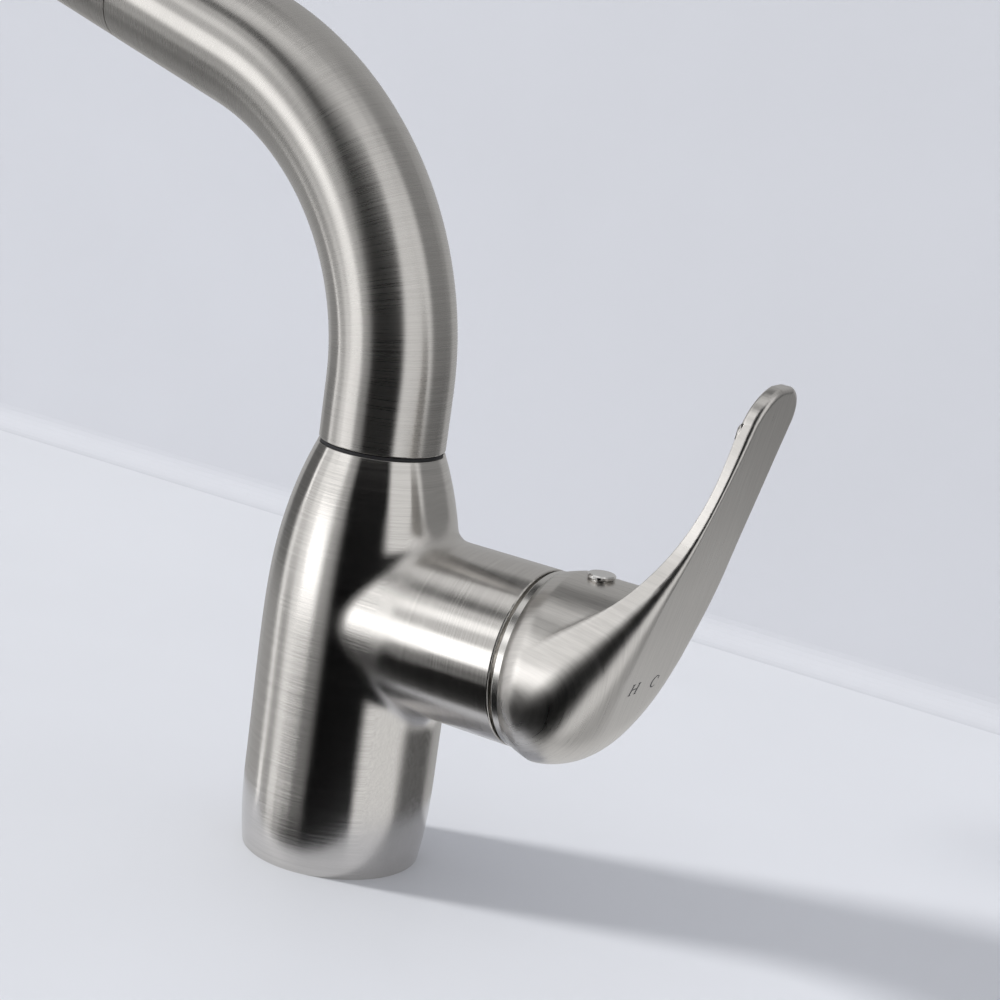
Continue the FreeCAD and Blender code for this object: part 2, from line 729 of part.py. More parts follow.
def spout_tube():
    start = V(0, 0, SPOUT_Z0)
    bend = V(0, 0, BEND_Z)
    mid = bend_point(math.radians(BEND_DEG) / 2)
    path = Part.Wire([
        Part.makeLine(start, bend),
        Part.Arc(bend, mid, bend_end()).toShape(),
        Part.makeLine(bend_end(), spout_end())])
    tube = swept(path, TUBE_R, start, Z_AXIS).cut(swept(path, TUBE_IN, start, Z_AXIS))
    rims = edges_at(tube, lambda c, e: abs(c.z - SPOUT_Z0) < 0.01 or (c - spout_end()).Length < 0.01)
    return tube.makeFillet(TUBE_EDGE, rims)


def swivel_bush():
    return ring_z(POST_R + RUN, TUBE_IN, SPOUT_Z0 + BUSH_LIFT, CLIP_Z - GAP)


def dock_bush():
    axis = spout_dir()
    start = spout_end() - axis * DOCK_L
    outer = Part.makeCylinder(TUBE_IN, DOCK_L, start, axis)
    return outer.cut(Part.makeCylinder(POST_R + RUN, DOCK_L, start, axis))


def wand_up():
    axis = spout_dir()
    return V(axis.z, 0, -axis.x)


def to_wand(shape):
    """Set a wand piece drawn in the wand frame on the end of the spout."""
    axis = spout_dir()
    turn = FreeCAD.Rotation(axis, wand_up().cross(axis), wand_up(), "XZY")
    placed = shape.copy()
    placed.Placement = FreeCAD.Placement(spout_end(), turn)
    return placed


def wand_run():
    """Straight run of the wand that puts the spray face at the reach."""
    b = math.radians(WAND_BEND_DEG)
    drop = WAND_BEND_R * (1 - math.cos(b)) + HEAD_L * math.sin(b)
    past_run = WAND_BEND_R * math.sin(b) + HEAD_L * math.cos(b)
    ahead = REACH + spout_end().x - drop * wand_up().x
    return ahead / -spout_dir().x - past_run


def head_start():
    """End of the wand's bend and the direction of its head."""
    b = math.radians(WAND_BEND_DEG)
    point = V(wand_run() + WAND_BEND_R * math.sin(b), 0, -WAND_BEND_R * (1 - math.cos(b)))
    return point, V(math.cos(b), 0, -math.sin(b))


def wand_path(x0, past):
    """Centre line of the wand from x0, round the bend and straight on past it."""
    half = math.radians(WAND_BEND_DEG) / 2
    p1 = V(wand_run(), 0, 0)
    mid = V(wand_run() + WAND_BEND_R * math.sin(half), 0, -WAND_BEND_R * (1 - math.cos(half)))
    p2, axis = head_start()
    return Part.Wire([
        Part.makeLine(V(x0, 0, 0), p1), Part.Arc(p1, mid, p2).toShape(), Part.makeLine(p2, p2 + axis * past)])


def head_cyl(r, along, length):
    """Cylinder about the axis of the spray head."""
    p2, axis = head_start()
    return Part.makeCylinder(r, length, p2 + axis * along, axis)


def wand_shell():
    p2, axis = head_start()
    start = V(GAP, 0, 0)
    cone_l = HEAD_L - FACE_D
    path = wand_path(GAP, GAP)
    shell = swept(path, WAND_R, start, X_AXIS)
    shell = shell.fuse([Part.makeCone(WAND_R, HEAD_R, cone_l, p2, axis), head_cyl(HEAD_R, cone_l, FACE_D)])
    shell = shell.cut(swept(path, WAND_IN, start, X_AXIS))
    shell = shell.cut(head_cyl(WAND_IN, 0, cone_l))
    shell = shell.cut(head_cyl(FACE_RING_R, cone_l, FACE_D))
    return to_wand(shell.cut(rocker_window()).removeSplitter())


def rocker_window():
    half = ROCK_L + WINDOW_MARGIN
    return box(ROCK_X - half, ROCK_X + half, -WINDOW_HALF_Y, WINDOW_HALF_Y, WINDOW_Z, WAND_R + PAST)


def neck_cyl(r, x0, x1):
    return Part.makeCylinder(r, x1 - x0, V(x0, 0, 0), X_AXIS)


def wand_neck():
    end = GAP + NECK_FLANGE_T
    neck = neck_cyl(POST_R, -NECK_L, end).fuse(neck_cyl(WAND_IN, GAP, end))
    return to_wand(neck.cut(neck_cyl(NECK_BORE, -NECK_L, end)).removeSplitter())


def hose_nipple():
    land_x = -NECK_L - LAND_T
    nut_x = land_x - HOSE_NUT_L
    flats = box(nut_x, land_x, -HOSE_NUT_FLAT, HOSE_NUT_FLAT, -LAND_R, LAND_R)
    nut = neck_cyl(LAND_R, nut_x, land_x).common(flats)
    nipple = neck_cyl(NECK_BORE, land_x, -NECK_L + NIPPLE_IN).fuse([neck_cyl(LAND_R, land_x, -NECK_L), nut])
    return to_wand(nipple.cut(neck_cyl(NIPPLE_BORE, nut_x, -NECK_L + NIPPLE_IN)).removeSplitter())


def check_valve():
    x0 = -NECK_L + NIPPLE_IN
    valve = neck_cyl(NECK_BORE, x0, x0 + VALVE_L)
    port = neck_cyl(VALVE_PORT_R, x0, x0 + VALVE_L)
    port.translate(V(0, VALVE_PITCH, 0))
    for cut in around(port, X_AXIS, 3):
        valve = valve.cut(cut)
    return to_wand(valve)


def inner_tube():
    x0 = GAP + NECK_FLANGE_T
    start = V(x0, 0, 0)
    path = wand_path(x0, HEAD_L - FACE_D - DIVERTER_T)
    tube = swept(path, CORE_R, start, X_AXIS).fuse(neck_cyl(CORE_COLLAR_R, x0, x0 + CORE_COLLAR_T))
    return to_wand(tube.cut(swept(path, CORE_IN, start, X_AXIS)).removeSplitter())


def diverter_body():
    along = HEAD_L - FACE_D - DIVERTER_T
    p2, axis = head_start()
    block = head_cyl(WAND_IN, along, DIVERTER_T).cut(head_cyl(CORE_IN, along, DIVERTER_T))
    hole = head_cyl(DIVERTER_HOLE_R, along, DIVERTER_T)
    hole.translate(Y_AXIS * DIVERTER_PITCH)
    for cut in around(hole, axis, DIVERTER_HOLES, p2):
        block = block.cut(cut)
    return to_wand(block)


def spray_plate():
    along = HEAD_L - FACE_D
    p2, axis = head_start()
    plate = head_cyl(PLATE_R, along, PLATE_T).cut(head_cyl(AERATOR_R, along, PLATE_T))
    face = p2 + axis * (along + PLATE_T)
    nubs = []
    for pitch, count in NUB_ROWS:
        nub = Part.makeCone(NUB_R, NUB_TIP_R, NUB_H, face + Y_AXIS * pitch, axis)
        nubs += around(nub, axis, count, p2)
    return to_wand(plate.fuse(nubs).removeSplitter())


def face_ring():
    along = HEAD_L - FACE_D
    return to_wand(head_cyl(FACE_RING_R, along, FACE_D).cut(head_cyl(PLATE_R, along, FACE_D)))


def aerator():
    along = HEAD_L - FACE_D
    floor = AERATOR_T - AERATOR_CUP
    p2, axis = head_start()
    cup = head_cyl(AERATOR_R, along, AERATOR_T).cut(head_cyl(AERATOR_IN, along + floor, AERATOR_CUP))
    cup = cup.cut(head_cyl(AERATOR_INLET_R, along, floor))
    place = FreeCAD.Placement(p2 + axis * along, FreeCAD.Rotation(Z_AXIS, axis))
    for i in range(-2, 3):
        middle = MESH_STEP * i
        bar = box(-AERATOR_IN, AERATOR_IN, middle - MESH_W / 2, middle + MESH_W / 2, floor, floor + MESH_H)
        bar.Placement = place.multiply(bar.Placement)
        cup = cup.fuse(bar.common(head_cyl(AERATOR_IN + RUN, along, AERATOR_T)))
    return to_wand(cup.removeSplitter())


def rocker_pin_local():
    return Part.makeCylinder(ROCK_PIN_R, 2 * ROCK_PIN_HALF, V(ROCK_X, -ROCK_PIN_HALF, ROCK_Z), Y_AXIS)


def rocker_pin():
    return to_wand(rocker_pin_local())


def rocker_cradle():
    half = ROCK_L + WINDOW_MARGIN
    tub = rocker_window().common(neck_cyl(WAND_R - CRADLE_INSET, ROCK_X - half, ROCK_X + half))
    half_x = ROCK_L + ROCK_PLAY
    half_y = ROCK_W + GAP
    pocket = box(ROCK_X - half_x, ROCK_X + half_x, -half_y, half_y, CRADLE_FLOOR_Z, WAND_R + PAST)
    return to_wand(tub.cut(pocket).cut(rocker_pin_local()))


def mode_rocker():
    left = ROCK_X - ROCK_L
    right = ROCK_X + ROCK_L
    dish_z = ROCK_TOP_Z - ROCK_DISH
    outline = [(left, ROCK_BASE_Z), (right, ROCK_BASE_Z), (right, ROCK_TOP_Z),
               (ROCK_X, dish_z), (left, ROCK_TOP_Z)]
    rocker = polygon_face([V(x, -ROCK_W, z) for x, z in outline]).extrude(V(0, 2 * ROCK_W, 0))
    crown = edges_at(rocker, lambda c, e: c.z > dish_z + 0.01)
    rocker = rocker.makeFillet(ROCK_EDGE, crown)
    bore = Part.makeCylinder(ROCK_PIN_R + PIN_RUN, 4 * ROCK_W, V(ROCK_X, -2 * ROCK_W, ROCK_Z), Y_AXIS)
    rocker = rocker.cut(bore)
    rocker.rotate(V(ROCK_X, 0, ROCK_Z), Y_AXIS, ROCK_DEG)
    return to_wand(Part.Shape(rocker))


NODES = {
    "body_casting": body_casting,
    "base_gasket": base_gasket,
    "mounting_shank": mounting_shank,
    "rubber_washer": rubber_washer,
    "steel_washer": steel_washer,
    "mounting_nut": mounting_nut,
    "jack_screws": jack_screws,
    "swivel_post": swivel_post,
    "spout_o_rings": spout_o_rings,
    "swivel_washer": swivel_washer,
    "post_clip": post_clip,
    "cartridge_base": cartridge_base,
    "cartridge_seals": cartridge_seals,
    "fixed_disc": fixed_disc,
    "cartridge_housing": cartridge_housing,
    "cartridge_nut": cartridge_nut,
    "trim_ring": trim_ring,
    "cartridge_rotor": cartridge_rotor,
    "pivot_pin": pivot_pin,
    "moving_disc": moving_disc,
    "disc_driver": disc_driver,
    "cartridge_stem": cartridge_stem,
    "handle_lever": handle_lever,
    "handle_set_screw": handle_set_screw,
    "screw_cap": screw_cap,
    "spout_tube": spout_tube,
    "swivel_bush": swivel_bush,
    "dock_bush": dock_bush,
    "wand_shell": wand_shell,
    "wand_neck": wand_neck,
    "hose_nipple": hose_nipple,
    "check_valve": check_valve,
    "inner_tube": inner_tube,
    "diverter_body": diverter_body,
    "spray_plate": spray_plate,
    "face_ring": face_ring,
    "aerator": aerator,
    "rocker_cradle": rocker_cradle,
    "rocker_pin": rocker_pin,
    "mode_rocker": mode_rocker,
}

os.makedirs("parts", exist_ok=True)
for name, make in NODES.items():
    make().exportStep("parts/" + name + ".step")
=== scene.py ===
"""Brushed single-hole kitchen mixer with a side lever and a docked wand, on a white deck."""
import json
import math

import bmesh
import bpy
from mathutils import Matrix, Vector


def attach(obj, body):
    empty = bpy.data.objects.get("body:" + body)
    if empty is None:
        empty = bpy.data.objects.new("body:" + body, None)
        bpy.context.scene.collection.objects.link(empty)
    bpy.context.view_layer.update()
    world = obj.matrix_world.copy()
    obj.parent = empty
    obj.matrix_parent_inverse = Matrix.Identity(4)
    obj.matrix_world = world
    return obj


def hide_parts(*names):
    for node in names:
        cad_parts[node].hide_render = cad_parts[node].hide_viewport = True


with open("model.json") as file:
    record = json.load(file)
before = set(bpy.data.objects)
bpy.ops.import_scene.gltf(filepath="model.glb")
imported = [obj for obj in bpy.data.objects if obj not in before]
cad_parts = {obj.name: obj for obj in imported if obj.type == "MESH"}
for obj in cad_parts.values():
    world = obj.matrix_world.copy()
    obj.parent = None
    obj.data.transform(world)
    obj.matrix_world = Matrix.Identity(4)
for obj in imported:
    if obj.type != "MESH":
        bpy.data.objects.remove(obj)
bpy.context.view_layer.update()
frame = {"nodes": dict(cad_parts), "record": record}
nodes = frame["nodes"]
scene = bpy.context.scene

# Centre lines of the spout and the wand, as in the solids. All lengths are in metres.
BEND_R = 0.086                         # spout: radius, start height and turn of its bend
BEND_Z = 0.1345
BEND_A = math.radians(72.5)
RUN_L = 0.040                          # and the straight run after it
WAND_RUN = 0.04162                     # wand: straight run, then radius and turn of its bend
WAND_R = 0.062
WAND_A = math.radians(68.0)

# Brushed nickel: noise cells per metre across the brush lines and along them.
NICKEL = (0.66, 0.64, 0.615)
ACROSS_LINES = 3200.0
ALONG_BODY = 30.0
ALONG_TUBE = 36.0
LEVER_ACROSS = 1900.0
LEVER_ALONG = 60.0
LEVER_UP = (0.32, 0.0, 0.947)          # the way up the paddle
LEVER_SLANT = 0.25                     # and how far its lines lean from it
BARREL_ROOT = (0.020, 0.030)           # along X, the lines turn from the column's to the barrel's

# Polishing by hand eases creases, in the shading only: radii, and the zones that they fade over.
EASE_ROOT = 0.0045                     # added where the barrel leaves the column
EASE_BODY = 0.0002
EASE_HUB = 0.0030
EASE_PADDLE = 0.0005
EASE_SAMPLES = 6
FOOT_FADE = (0.022, 0.034)             # heights above the deck
SEAM_FADE = (0.098, 0.108)
PADDLE_FADE = (0.088, 0.102)
BARREL_FADE = (0.034, 0.042)           # along X

# The other finishes: noise cells per metre.
WIPE_CELLS = (2200.0, 60.0, 60.0)
TOOL_CELLS = (300.0, 300.0, 2600.0)
MOST = (0.3, 0.7)                      # most values of a noise texture lie between these


class Graph:
    """Short calls for building a shader's node tree."""

    def __init__(self, owner):
        owner.use_nodes = True
        self.tree = owner.node_tree
        self.tree.nodes.clear()

    def put(self, socket, value):
        if isinstance(value, bpy.types.NodeSocket):
            self.tree.links.new(value, socket)
        else:
            socket.default_value = value

    def node(self, kind, inputs=None, **settings):
        made = self.tree.nodes.new("ShaderNode" + kind)
        for key, value in settings.items():
            setattr(made, key, value)
        for key, value in (inputs or {}).items():
            self.put(made.inputs[key], value)
        return made

    def math(self, operation, a, b=0.0, c=0.0):
        made = self.node("Math", operation=operation)
        for socket, value in zip(made.inputs, (a, b, c)):
            self.put(socket, value)
        return made.outputs[0]

    def vector(self, operation, a, b):
        made = self.node("VectorMath", {0: a, 1: b}, operation=operation)
        return made.outputs["Value" if operation == "DOT_PRODUCT" else "Vector"]

    def scaled(self, a, factor):
        made = self.node("VectorMath", {0: a, "Scale": factor}, operation="SCALE")
        return made.outputs["Vector"]

    def combine(self, x, y, z):
        return self.node("CombineXYZ", {"X": x, "Y": y, "Z": z}).outputs[0]

    def split(self, vector):
        return self.node("SeparateXYZ", {0: vector}).outputs

    def here(self):
        return self.node("TexCoord").outputs["Object"]

    def steps(self, value, low, high, to_low=0.0, to_high=1.0, smooth=True):
        made = self.node("MapRange", interpolation_type="SMOOTHSTEP" if smooth else "LINEAR")
        for key, v in (("Value", value), ("From Min", low), ("From Max", high),
                       ("To Min", to_low), ("To Max", to_high)):
            self.put(made.inputs[key], v)
        return made.outputs[0]

    def within(self, value, rise, fall):
        """One between the rise and the fall, which are the ranges that it fades over."""
        return self.math("MULTIPLY", self.steps(value, *rise), self.steps(value, *fall, 1.0, 0.0))

    def noise(self, vector, scale=1.0, detail=2.0, rough=0.5):
        made = self.node("TexNoise", {
            "Vector": vector, "Scale": scale, "Detail": detail, "Roughness": rough})
        return made.outputs[0]

    def blend(self, fac, a, b):
        made = self.node("Mix", data_type="RGBA")
        self.put(made.inputs["Factor"], fac)
        for key, colour in (("A", a), ("B", b)):
            self.put(made.inputs[key], (*colour, 1) if isinstance(colour, tuple) else colour)
        return made.outputs["Result"]

    def bump(self, height, strength, distance, normal=None):
        made = self.node("Bump", {"Height": height, "Strength": strength, "Distance": distance})
        if normal:
            self.put(made.inputs["Normal"], normal)
        return made.outputs[0]

    def eased(self, radius):
        return self.node("Bevel", {"Radius": radius}, samples=EASE_SAMPLES).outputs[0]

    def world_vector(self, vector):
        made = self.node("VectorTransform", {0: vector}, vector_type="VECTOR",
                         convert_from="OBJECT", convert_to="WORLD")
        return made.outputs[0]

    def finish(self, shader, kind="OutputMaterial"):
        out = self.node(kind)
        self.tree.links.new(shader.outputs[0], out.inputs["Surface"])


def material(name):
    made = bpy.data.materials.new(name)
    return made, Graph(made)


def shade(colour, factor):
    return tuple(min(1.0, c * factor) for c in colour)


def brushed(name, field, rough, aniso=1.0, lines=1.0, polish=None):
    """Brushed nickel.

    field gives the direction across the brush lines and the coordinates of the lines; polish gives
    the normal as hand polishing has eased it.
    """
    made, g = material(name)
    across, coords = field(g)
    fine = g.noise(coords, detail=3.0, rough=0.7)
    broad = g.noise(g.scaled(coords, 0.19))
    cloud = g.noise(g.here(), scale=38.0)
    streak = g.math("ADD", g.math("MULTIPLY", fine, 0.85), g.math("MULTIPLY", broad, 0.15))
    roughness = g.math("ADD", g.steps(streak, 0.25, 0.75, rough - 0.04, rough + 0.04, False),
                       g.steps(cloud, *MOST, -0.015, 0.015, False))
    g.finish(g.node("BsdfPrincipled", {
        "Base Color": g.blend(g.steps(streak, *MOST), shade(NICKEL, 0.90), shade(NICKEL, 1.08)),
        "Metallic": 1.0, "Roughness": roughness, "Anisotropic": aniso,
        "Tangent": g.world_vector(across),
        "Normal": g.bump(streak, 0.05 * lines, 0.0002, polish and polish(g))}))
    return made


def body_field(g):
    """Lines round the column, and round the barrel."""
    x, y, z = g.split(g.here())
    barrel = g.steps(x, *BARREL_ROOT)
    across = g.combine(barrel, 0.0, g.math("SUBTRACT", 1.0, barrel))
    spread = ACROSS_LINES - ALONG_BODY
    along_x = g.math("MULTIPLY", x, g.math("MULTIPLY_ADD", barrel, spread, ALONG_BODY))
    along_z = g.math("MULTIPLY", z, g.math("MULTIPLY_ADD", barrel, -spread, ACROSS_LINES))
    return across, g.combine(along_x, g.math("MULTIPLY", y, ALONG_BODY), along_z)


def bend_field(centre, ahead, out, radius, turn):
    """Lines round a tube: a straight run, a bend about a centre and another run."""
    end = radius * (Vector(out) * math.cos(turn) + Vector(ahead) * math.sin(turn))
    leave = Vector(ahead) * math.cos(turn) - Vector(out) * math.sin(turn)

    def field(g):
        p = g.here()
        q = g.vector("SUBTRACT", p, centre)
        u = g.vector("DOT_PRODUCT", q, ahead)
        w = g.vector("DOT_PRODUCT", q, out)
        angle = g.math("MINIMUM", g.math("MAXIMUM", g.math("ARCTAN2", u, w), 0.0), turn)
        across = g.vector("SUBTRACT", g.scaled(ahead, g.math("COSINE", angle)),
                          g.scaled(out, g.math("SINE", angle)))
        past = g.vector("DOT_PRODUCT", g.vector("SUBTRACT", q, tuple(end)), tuple(leave))
        run = g.math("ADD", g.math("MINIMUM", u, 0.0), g.math("MAXIMUM", past, 0.0))
        s = g.math("MULTIPLY_ADD", angle, radius, run)
        x, y, _ = g.split(p)
        return across, g.combine(g.math("MULTIPLY", x, ALONG_TUBE),
                                 g.math("MULTIPLY", y, ALONG_TUBE),
                                 g.math("MULTIPLY", s, ACROSS_LINES))
    return field


def lever_field(g):
    """Fine lines that run up the paddle, a little aslant."""
    p = g.here()
    x, y, _ = g.split(p)
    up = g.vector("DOT_PRODUCT", p, LEVER_UP)
    side = g.math("MULTIPLY_ADD", up, LEVER_SLANT, y)
    return (0.0, 1.0, 0.0), g.combine(g.math("MULTIPLY", side, LEVER_ACROSS),
                                      g.math("MULTIPLY", up, LEVER_ALONG),
                                      g.math("MULTIPLY", x, LEVER_ALONG))


def body_polish(g):
    """Broad easing where the barrel leaves the column, next to none at its end, seam and foot."""
    x, _, z = g.split(g.here())
    near = g.math("MULTIPLY", g.within(z, FOOT_FADE, SEAM_FADE),
                  g.steps(x, *BARREL_FADE, 1.0, 0.0))
    return g.eased(g.math("MULTIPLY_ADD", near, EASE_ROOT, EASE_BODY))


def lever_polish(g):
    """Broad easing round the hub, a slight one along the paddle's edges."""
    _, _, z = g.split(g.here())
    return g.eased(g.steps(z, *PADDLE_FADE, EASE_HUB, EASE_PADDLE))


def polished(name, base, rough=0.10):
    """Polished metal with a faint haze and wipe marks."""
    made, g = material(name)
    p = g.here()
    haze = g.noise(p, scale=90.0, detail=3.0, rough=0.6)
    wipe = g.noise(g.vector("MULTIPLY", p, WIPE_CELLS))
    g.finish(g.node("BsdfPrincipled", {
        "Base Color": g.blend(g.steps(haze, *MOST), shade(base, 0.94), base),
        "Metallic": 1.0,
        "Roughness": g.steps(haze, *MOST, rough - 0.03, rough + 0.04, False),
        "Normal": g.bump(wipe, 0.02, 0.0001)}))
    return made


def turned(name, base, rough):
    """Turned or plated metal with tool marks."""
    made, g = material(name)
    p = g.here()
    marks = g.noise(g.vector("MULTIPLY", p, TOOL_CELLS))
    spots = g.noise(p, scale=160.0, detail=3.0, rough=0.6)
    g.finish(g.node("BsdfPrincipled", {
        "Base Color": g.blend(g.steps(spots, *MOST), shade(base, 0.82), base),
        "Metallic": 1.0,
        "Roughness": g.steps(spots, *MOST, rough - 0.05, rough + 0.06, False),
        "Normal": g.bump(marks, 0.08, 0.0002)}))
    return made


def moulded(name, base, rough, grain=400.0, depth=0.12, vary=0.12):
    """Moulded plastic, rubber, lapped ceramic or ink."""
    made, g = material(name)
    p = g.here()
    skin = g.noise(p, scale=grain, detail=3.0, rough=0.6)
    cloud = g.noise(p, scale=45.0)
    g.finish(g.node("BsdfPrincipled", {
        "Base Color": g.blend(g.steps(cloud, *MOST), shade(base, 1 - vary), shade(base, 1 + vary)),
        "Roughness": g.steps(skin, *MOST, rough - 0.06, rough + 0.06, False),
        "Normal": g.bump(skin, depth, 0.0003)}))
    return made


run_dir = (-math.sin(BEND_A), 0.0, math.cos(BEND_A))
run_up = (math.cos(BEND_A), 0.0, math.sin(BEND_A))
bend_end = Vector((-BEND_R * (1 - math.cos(BEND_A)), 0.0, BEND_Z + BEND_R * math.sin(BEND_A)))
spout_end = bend_end + Vector(run_dir) * RUN_L
wand_centre = spout_end + Vector(run_dir) * WAND_RUN - Vector(run_up) * WAND_R

spout_field = bend_field((-BEND_R, 0.0, BEND_Z), (0, 0, 1), (1, 0, 0), BEND_R, BEND_A)
wand_field = bend_field(tuple(wand_centre), run_dir, run_up, WAND_R, WAND_A)

finish_by_node = {
    "body_casting": brushed("nickel_body", body_field, 0.17, polish=body_polish),
    "spout_tube": brushed("nickel_spout", spout_field, 0.28),
    "wand_shell": brushed("nickel_wand", wand_field, 0.28),
    "handle_lever": brushed("nickel_lever", lever_field, 0.30, aniso=0.0, lines=0.7,
                            polish=lever_polish),
    "trim_ring": polished("nickel_trim", (0.70, 0.685, 0.66), 0.20),
}
by_slot = {
    "bright_trim": polished("bright_trim", (0.80, 0.79, 0.78)),
    "black_rubber": moulded("black_rubber", (0.03, 0.03, 0.03), 0.62, 600.0, 0.2),
    "black_glide": moulded("black_glide", (0.02, 0.02, 0.022), 0.60, 800.0, 0.08),
    "brass_part": turned("brass_part", (0.72, 0.58, 0.30), 0.30),
    "zinc_steel": turned("zinc_steel", (0.60, 0.61, 0.63), 0.33),
    "grey_plastic": moulded("grey_plastic", (0.45, 0.46, 0.48), 0.42),
    "white_plastic": moulded("white_plastic", (0.86, 0.86, 0.85), 0.38, vary=0.04),
    "disc_ceramic": moulded("disc_ceramic", (0.90, 0.89, 0.86), 0.16, 900.0, 0.03, 0.03),
    "dark_face": moulded("dark_face", (0.10, 0.10, 0.11), 0.5, 900.0, 0.15),
}
slot_of = {s["node"]: s["material_slot"] for s in frame["record"]["subparts"]}
for name, obj in nodes.items():
    obj.data.materials.clear()
    obj.data.materials.append(finish_by_node.get(name) or by_slot[slot_of[name]])


def placed(name, mesh, surface):
    """Object of a mesh with one material."""
    mesh.materials.append(surface)
    obj = bpy.data.objects.new(name, mesh)
    scene.collection.objects.link(obj)
    return obj


def threaded_shank():
    """Shank below the base: plain collar, then a rounded screw thread to the chamfered end."""
    bore, crest, collar = 0.0136, 0.0162, 0.0165
    top, collar_low, low, chamfer = 0.015, -0.010, -0.060, 0.001
    pitch, depth, around, per_turn = 0.0015, 0.0008, 72, 8
    crease = math.radians(50)
    step = pitch / per_turn
    outer = [(bore, top), (crest, top), (crest, 0.0),
             (collar, 0.0), (collar, collar_low), (crest, collar_low)]
    rows = [([r] * around, z) for r, z in outer]
    for i in range(1, int((collar_low - low) / step)):
        z = collar_low - i * step
        run_in = min(1.0, i * step / pitch)
        limit = min(crest, crest - chamfer + (z - low))
        radii = []
        for k in range(around):
            turn = (z / pitch + k / around) * 2 * math.pi
            radii.append(min(limit, crest - run_in * depth * (0.5 - 0.5 * math.cos(turn))))
        rows.append((radii, z))
    rows.append(([crest - chamfer] * around, low))
    rows.append(([bore] * around, low))
    shell = bmesh.new()
    rings = []
    for radii, z in rows:
        ring = []
        for k, r in enumerate(radii):
            a = 2 * math.pi * k / around
            ring.append(shell.verts.new((r * math.cos(a), r * math.sin(a), z)))
        rings.append(ring)
    for upper, lower in zip(rings, rings[1:] + rings[:1]):
        for k in range(around):
            n = (k + 1) % around
            shell.faces.new((upper[k], lower[k], lower[n], upper[n])).smooth = True
    shell.normal_update()
    for edge in shell.edges:
        edge.smooth = edge.calc_face_angle() < crease
    mesh = bpy.data.meshes.new("shank_thread")
    shell.to_mesh(mesh)
    shell.free()
    obj = placed("shank_thread", mesh, by_slot["brass_part"])
    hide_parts("mounting_shank")
    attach(obj, "body")


threaded_shank()

# Hot and cold letters on the lever. Their strokes are given in heights of the letter.
MARK_SIZE = 0.0037
MARK_X, MARK_Y, MARK_Z = 0.0902, 0.0055, 0.0743
MARK_SIDE = Vector((0.942, 0.0, -0.335))    # the side that they face
MARK_LEAN = Vector((0.25, 0, 1))            # and their way up
MARK_LIFT = 0.00004                         # they stand off the metal by this
MARK_CELLS = (3, 2)                         # faces along a stroke and across it
FAR_PROBE, NEAR_PROBE = 0.1, 0.01           # rays that look for the metal start at this distance


def stroke(start, end, width):
    """Corners of a straight pen stroke: left and right at its start, right and left at its end."""
    (x0, y0), (x1, y1) = start, end
    length = math.hypot(x1 - x0, y1 - y0)
    nx, ny = -(y1 - y0) / length * width / 2, (x1 - x0) / length * width / 2
    return (x0 + nx, y0 + ny), (x0 - nx, y0 - ny), (x1 - nx, y1 - ny), (x1 + nx, y1 + ny)


def letter_h():
    stem_x, serif, serif_y = 0.40, 0.17, 0.47
    quads = []
    for x in (-stem_x, stem_x):
        quads.append(stroke((x, -0.5), (x, 0.5), 0.15))
        for y in (-serif_y, serif_y):
            quads.append(stroke((x - serif, y), (x + serif, y), 0.06))
    quads.append(stroke((-0.36, 0.0), (0.36, 0.0), 0.07))
    return quads


def letter_c():
    wide, tall, first, turn, count = 0.42, 0.5, 48, 12, 22
    quads = []
    for i in range(count):
        a0 = math.radians(first + turn * i)
        a1 = math.radians(first + turn * (i + 1))
        thick = 0.05 + 0.09 * math.sin(0.5 * (a0 + a1) / 2) ** 4
        quads.append(stroke((wide * math.cos(a0), tall * math.sin(a0)),
                            (wide * math.cos(a1), tall * math.sin(a1)), thick))
    quads.append(stroke((0.3, 0.2), (0.3, 0.46), 0.06))
    return quads


def index_mark(name, quads, spot, ink):
    """Thin printed letter laid on the lever at a spot."""
    lever = nodes["handle_lever"]
    start = lever.matrix_world.inverted() @ (Vector(spot) + MARK_SIDE * FAR_PROBE)
    _, place, normal, _ = lever.ray_cast(start, -MARK_SIDE)
    up = (MARK_LEAN - normal * normal.dot(MARK_LEAN)).normalized()
    across = up.cross(normal)
    long, wide = MARK_CELLS
    points = []
    faces = []
    for left_0, right_0, right_1, left_1 in quads:
        base = len(points)
        for i in range(long + 1):
            left = Vector(left_0).lerp(Vector(left_1), i / long)
            right = Vector(right_0).lerp(Vector(right_1), i / long)
            for j in range(wide + 1):
                u, v = left.lerp(right, j / wide)
                above = place + across * (u * MARK_SIZE) + up * (v * MARK_SIZE)
                _, metal, metal_normal, _ = lever.ray_cast(above + normal * NEAR_PROBE, -normal)
                points.append(metal + metal_normal * MARK_LIFT)
        row = wide + 1
        for i in range(long):
            for j in range(wide):
                k = base + i * row + j
                faces.append((k, k + 1, k + row + 1, k + row))
    mesh = bpy.data.meshes.new(name)
    mesh.from_pydata([tuple(p) for p in points], [], faces)
    obj = placed(name, mesh, ink)
    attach(obj, "handle")


mark_ink = moulded("mark_ink", (0.05, 0.05, 0.055), 0.5, 900.0, 0.05)
index_mark("hot_mark", letter_h(), (MARK_X, -MARK_Y, MARK_Z), mark_ink)
index_mark("cold_mark", letter_c(), (MARK_X, MARK_Y, MARK_Z), mark_ink)

